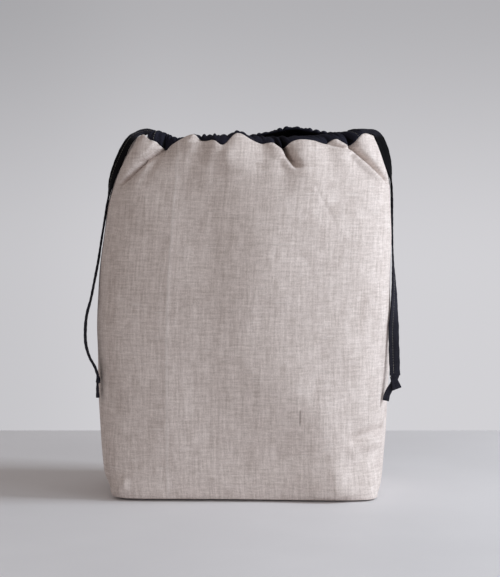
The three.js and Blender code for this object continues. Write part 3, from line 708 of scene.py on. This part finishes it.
tie_stitches = {}
for name, (middle, out, across) in tie_lines.items():
    seam, face = middle + across * STITCH_AT * TIE_WIDTH / 2, out * TIE_THICK * GROOVE
    shown = slice(3, -1) if name == "tie_left" else middle[:, 2] < SHOWS_BELOW
    rows = [(seam + face)[shown], (seam - face)[shown]]
    tie_stitches[name] = stitch_rows(f"stitches_{name}", rows, PITCH, TIE_STITCH, THREAD[name])
casing_stitches = {
    panel: stitch_rows(f"stitches_casing_{panel}", hems[panel], PITCH, HEM_STITCH, THREAD["hem"]) for panel in hems
}

# %% [markdown]
# ## Finishes
# The linen is a plain weave of uneven undyed yarn: slubs run both ways, and each thread has its own tone, and a
# painted highlight runs down one pressed fold. The casings and ties are dyed cotton, painted close to black as
# shade inside the casing's fold and along the ties' upper part. All of it is worked out from the weave map, in
# millimetres on the cloth, so that threads follow the cloth wherever it turns. A small class lets the sums be
# written as plain Python.

# %% Sums on sockets
class Wire:
    """A socket of a finish's nodes. A sum on wires adds the Math nodes for it."""

    def __init__(self, tree, socket):
        self.tree, self.socket = tree, socket

    def node(self, kind, settings=None, inputs=None):
        """A new node: its settings first, then the values or wires of its sockets."""
        made = self.tree.nodes.new(kind)
        for name, value in (settings or {}).items():
            setattr(made, name, value)
        for name, value in (inputs or {}).items():
            if isinstance(value, Wire):
                self.tree.links.new(value.socket, made.inputs[name])
            else:
                made.inputs[name].default_value = value
        return made

    def wire(self, kind, settings=None, inputs=None, output=0):
        """A wire from one output of a new node."""
        return Wire(self.tree, self.node(kind, settings, inputs).outputs[output])

    def do(self, operation, *more):
        """A Math node on this and on more values, if it takes them."""
        return self.wire("ShaderNodeMath", {"operation": operation}, dict(enumerate((self, *more))))

    def __add__(self, other):
        return self.do("ADD", other)

    def __sub__(self, other):
        return self.do("SUBTRACT", other)

    def __rsub__(self, other):
        return self.wire("ShaderNodeMath", {"operation": "SUBTRACT"}, {0: other, 1: self})

    def __mul__(self, other):
        return self.do("MULTIPLY", other)

    __radd__, __rmul__ = __add__, __mul__

    def between(self, low, high):
        """Rises softly from 0 to 1 as this goes from low to high."""
        span = {"Value": self, "From Min": low, "From Max": high}
        return self.wire("ShaderNodeMapRange", {"interpolation_type": "SMOOTHSTEP"}, span)

    def mix(self, first, second):
        """A colour from first to second by this share."""
        settings = {"data_type": "RGBA", "clamp_factor": True}
        return self.wire("ShaderNodeMix", settings, {0: self, 6: first, 7: second}, 2)

    def away_from(self, place):
        """How far this is from a place, on either side."""
        return (self - place).do("ABSOLUTE")


print("wires can", ", ".join(name for name in vars(Wire) if not name.startswith("__")))


# %% Shaders
def start_shader(material, roughness, specular):
    """Clears a material, gives it a shader, and returns a wire to begin with and the shader."""
    material.use_nodes = True
    material.node_tree.nodes.clear()
    begin = Wire(material.node_tree, None)
    shader = begin.node("ShaderNodeBsdfPrincipled", inputs={"Roughness": roughness, "Specular IOR Level": specular})
    begin.node("ShaderNodeOutputMaterial", inputs={"Surface": Wire(begin.tree, shader.outputs[0])})
    return begin, shader


def mottled(material, roughness, specular, size, detail, first, second):
    """Paints a material with soft spots of two colours, by place in the room."""
    begin, shader = start_shader(material, roughness, specular)
    place = begin.wire("ShaderNodeTexCoord", output=3)
    spots = begin.wire("ShaderNodeTexNoise", inputs={"Vector": place, "Scale": size, "Detail": detail})
    colour = spots.between(0.3, 0.7).mix(first, second)
    begin.tree.links.new(colour.socket, shader.inputs["Base Color"])


mottled(thread, 0.8, 0.3, 900, 2, (0.15, 0.14, 0.12, 1), (0.30, 0.28, 0.24, 1))
print(thread.name, len(thread.node_tree.nodes), "nodes")


# %% Weave on the cloth
def start_cloth(name, roughness, specular):
    """A new material with a shader, and wires for the two ways along the cloth, in millimetres."""
    material = bpy.data.materials.new(name)
    begin, shader = start_shader(material, roughness, specular)
    place = begin.wire("ShaderNodeUVMap", {"uv_map": "weave"})
    place = begin.wire("ShaderNodeVectorMath", {"operation": "SCALE"}, {0: place, "Scale": 1 / MM})
    split = begin.node("ShaderNodeSeparateXYZ", inputs={0: place})
    return material, shader, Wire(begin.tree, split.outputs[0]), Wire(begin.tree, split.outputs[1])


def streaks(u, v, wide, long, detail=2):
    """Uneven streaks along the second way, about 0 to 1."""
    place = u.wire("ShaderNodeCombineXYZ", inputs={0: u * (1 / wide), 1: v * (1 / long)})
    return u.wire("ShaderNodeTexNoise", {"noise_dimensions": "2D"}, {"Vector": place, "Scale": 1, "Detail": detail})


def plain_weave(u, v, pitch):
    """Height of a plain weave: each thread goes over one and under the next."""
    across, along = u * (1 / pitch), v * (1 / pitch)
    over = (across.do("FLOOR") + along.do("FLOOR")).do("PINGPONG", 1)
    warp, weft = ((way * math.pi).do("SINE").do("ABSOLUTE") for way in (across, along))
    return warp * (0.45 + over * 0.55) + weft * (1 - over * 0.55)


def set_bump(shader, height, distance, strength):
    """Lets the light feel the threads; the shape itself is in the mesh."""
    bump = height.wire("ShaderNodeBump", inputs={"Height": height, "Distance": distance, "Strength": strength})
    height.tree.links.new(bump.socket, shader.inputs["Normal"])


print("weave helpers ready")

# %% Natural linen
LINEN_PITCH, NAVY_PITCH = 0.62, 0.42  # from thread to thread
ODD_THREAD = (51.5, 79)  # one dark slub low on the front
PRESSED = -70.5  # a line down the front where the cloth lay folded, painted paler as the highlight on its crest

linen, shader, u, v = start_cloth("natural linen", 0.92, 0.15)
warp_slub, weft_slub = streaks(u, v, 1.7, 13), streaks(v + 300, u, 1.5, 8)
warp_long, weft_long = streaks(u + 60, v, 3.2, 70), streaks(v + 90, u, 2.4, 30)
grain, cloud = streaks(u, v, 1.2, 1.4), streaks(u, v, 15, 22)
dark_fleck = streaks(u + 500, v, 0.8, 6, 1).between(0.72, 0.80)
pale_thread = streaks(v + 700, u, 0.9, 22, 1).between(0.70, 0.80)
tone = warp_slub * 0.85 + weft_slub * 0.72 + warp_long * 0.65 + weft_long * 0.6 + grain * 0.8 + cloud * 0.5 - 1.56
odd_thread = u.away_from(ODD_THREAD[0]).between(1.1, 0.3) * v.away_from(ODD_THREAD[1]).between(9, 5)
# painted highlight along the crest of the pressed fold
fold_highlight = u.away_from(PRESSED).between(2.2, 0.4)
colour = tone.mix((0.49, 0.414, 0.377, 1), (0.78, 0.694, 0.651, 1))
colour = (dark_fleck * 0.35).mix(colour, (0.30, 0.24, 0.21, 1))
colour = (pale_thread * 0.4).mix(colour, (0.80, 0.75, 0.72, 1))
# painted highlight: paler along the pressed fold
colour = (fold_highlight * 0.18).mix(colour, (0.82, 0.77, 0.74, 1))
colour = (odd_thread * 0.55).mix(colour, (0.14, 0.10, 0.08, 1))
linen.node_tree.links.new(colour.socket, shader.inputs["Base Color"])
weave_height = plain_weave(u, v, LINEN_PITCH) * 0.5 + (warp_slub + weft_slub + grain) * 0.5
set_bump(shader, weave_height, 0.0003, 0.35)
for piece in panels.values():
    piece.data.materials.append(linen)
print(linen.name, len(linen.node_tree.nodes), "nodes")


# %% Navy cotton
def navy_cotton(name, deep, lit, shaded_span):
    """Dyed cotton that has faded where it is handled; the last argument gives the span, in millimetres along the
    weave map's second way, that is painted near black as shade.
    """
    material, shader, u, v = start_cloth(name, 0.9, 0.08)
    worn = streaks(u, v, 0.7, 12, 3) * 0.6 + streaks(v, u, 0.7, 12, 3) * 0.6 + streaks(u, v, 14, 16) * 0.5 - 0.35
    lint = streaks(u + 90, v, 0.5, 2.5, 1).between(0.74, 0.82)
    colour = worn.between(0.1, 0.9).mix(deep, lit)
    # painted shade: near black over the given span of the cloth
    colour = (v.between(*shaded_span[:2]) * (1 - v.between(*shaded_span[2:]))).mix(colour, (0.0045, 0.0043, 0.005, 1))
    colour = (lint * 0.08).mix(colour, (0.2, 0.2, 0.24, 1))
    material.node_tree.links.new(colour.socket, shader.inputs["Base Color"])
    set_bump(shader, plain_weave(u, v, NAVY_PITCH), 0.0002, 0.5)
    return material


# painted shade: the casing's inner layer, 24 to 46 mm across the band, is near black inside the mouth
casing_navy = navy_cotton("navy casing", (0.009, 0.009, 0.015, 1), (0.020, 0.0195, 0.031, 1), (24, 25, 45, 46))
# painted shade: each tie is near black from about 30 to 120 mm along it, over the shoulder and down the side
tie_navy = navy_cotton("navy tie", (0.014, 0.0135, 0.019, 1), (0.030, 0.029, 0.039, 1), (30, 38, 75, 120))
for piece in casings.values():
    piece.data.materials.append(casing_navy)
for piece in [*ties.values(), *knots.values()]:
    piece.data.materials.append(tie_navy)
print("navy cotton on", len(casings) + len(ties) + len(knots), "pieces")

# %% [markdown]
# ## Putting the cloth in place of the solids
# Each cloth piece takes the place of its plain solid: it and its stitches are attached to the bag's root body, and
# the solid is hidden.

for panel in ("front", "back"):
    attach(panels[panel], "root")
    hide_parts(f"linen_{panel}")
    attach(casings[panel], "root")
    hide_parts(f"casing_{panel}")
    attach(casing_stitches[panel], "root")
for side in ("left", "right"):
    tie, knot, stitches = ties[f"tie_{side}"], knots[f"knot_{side}"], tie_stitches[f"tie_{side}"]
    for piece in (tie, knot, stitches):
        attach(piece, "root")
    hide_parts(f"tie_{side}")
    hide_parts(f"knot_{side}")
    line = tie_lines[f"tie_{side}"][0] * MM

# %% [markdown]
# ## Floor and light
# The bag stood on a pale table in front of a pale wall, in soft window light from the right. A slab that ends
# behind the bag gives the table's far edge. The world is the room: the wall behind, dimmer walls at the other sides,
# which fill the shadows, and the ceiling. One area light is the window, and a larger one is the glow beside it.

# %% Floor
FLOOR_SIZE = (6, 4.368, 0.03)
FLOOR_MIDDLE = (0, -1.817, -0.015)
FLOOR_BEVEL = 0.004

floor_mesh = bpy.data.meshes.new("floor")
work = bmesh.new()
bmesh.ops.create_cube(work, size=1)
for corner in work.verts:
    corner.co = [middle + share * size for middle, share, size in zip(FLOOR_MIDDLE, corner.co, FLOOR_SIZE)]
bmesh.ops.bevel(work, geom=work.edges[:], offset=FLOOR_BEVEL, segments=3, affect="EDGES")
work.to_mesh(floor_mesh)
work.free()
floor = bpy.data.objects.new("floor", floor_mesh)
bpy.context.scene.collection.objects.link(floor)
paint = bpy.data.materials.new("pale floor")
mottled(paint, 0.6, 0.3, 6, 3, (0.71, 0.69, 0.695, 1), (0.74, 0.72, 0.725, 1))
floor_mesh.materials.append(paint)
print("floor ends", round(max(corner.co.y for corner in floor_mesh.vertices), 3), "m behind the bag's middle")

# %% Light
BAG_MIDDLE = (0, 0, 0.17)
LIGHT_COLOUR = (0.9, 1, 1.1)
WALL, DARKER_UP, DARKER_LEFT = 0.645, 0.215, 0.12
NEAR_SIDE, LEFT_SIDE, RIGHT_SIDE, CEILING = 0.45, 0.28, 0.3, 0.35

scene = bpy.context.scene
scene.view_settings.view_transform = "Standard"
scene.world = bpy.data.worlds.new("pale wall")
scene.world.use_nodes = True
backing = scene.world.node_tree.nodes["Background"]
begin = Wire(scene.world.node_tree, None)
way = begin.node("ShaderNodeSeparateXYZ", inputs={0: begin.wire("ShaderNodeTexCoord", output=0)})
across, behind, above = (Wire(begin.tree, output) for output in way.outputs)
wall = (WALL - above.between(-0.06, 0.13) * DARKER_UP) * (1 - across.between(-0.04, -0.16) * DARKER_LEFT)
wall = wall * behind.between(0.2, 0.5) * (1 - above.between(0.2, 0.35))
ceiling = above.between(0.2, 0.5)
sides = behind.between(-0.2, -0.5) * NEAR_SIDE
sides = sides + across.between(-0.6, -0.9) * LEFT_SIDE + across.between(0.5, 0.9) * RIGHT_SIDE
room = (1 - ceiling) * sides + ceiling * CEILING
cool = begin.wire("ShaderNodeVectorMath", {"operation": "SCALE"}, {0: (1, 0.99, 1.03), "Scale": wall})
warm = begin.wire("ShaderNodeVectorMath", {"operation": "SCALE"}, {0: (1.05, 0.98, 0.96), "Scale": room})
tint = begin.wire("ShaderNodeVectorMath", {"operation": "ADD"}, {0: cool, 1: warm})
begin.tree.links.new(tint.socket, backing.inputs["Color"])


def soft_light(name, place, size, power):
    """A square light that looks at the middle of the bag."""
    lamp = bpy.data.objects.new(name, bpy.data.lights.new(name, "AREA"))
    scene.collection.objects.link(lamp)
    lamp.data.shape, lamp.data.size, lamp.data.energy = "SQUARE", size, power
    lamp.data.color, lamp.location = LIGHT_COLOUR, place
    way = np.array(BAG_MIDDLE) - np.array(place)
    lamp.rotation_euler = (math.acos(way[2] / np.linalg.norm(way)) - math.pi, 0, math.atan2(way[0], -way[1]))
    return lamp


window = soft_light("window", (1.62, -0.23, 1.32), 0.45, 25)
glow = soft_light("glow from the side of the room", (1.63, -1.14, 0.35), 0.9, 13)
print("window light of", window.data.energy, "W, and a softer one of", glow.data.energy, "W")

# %% [markdown]
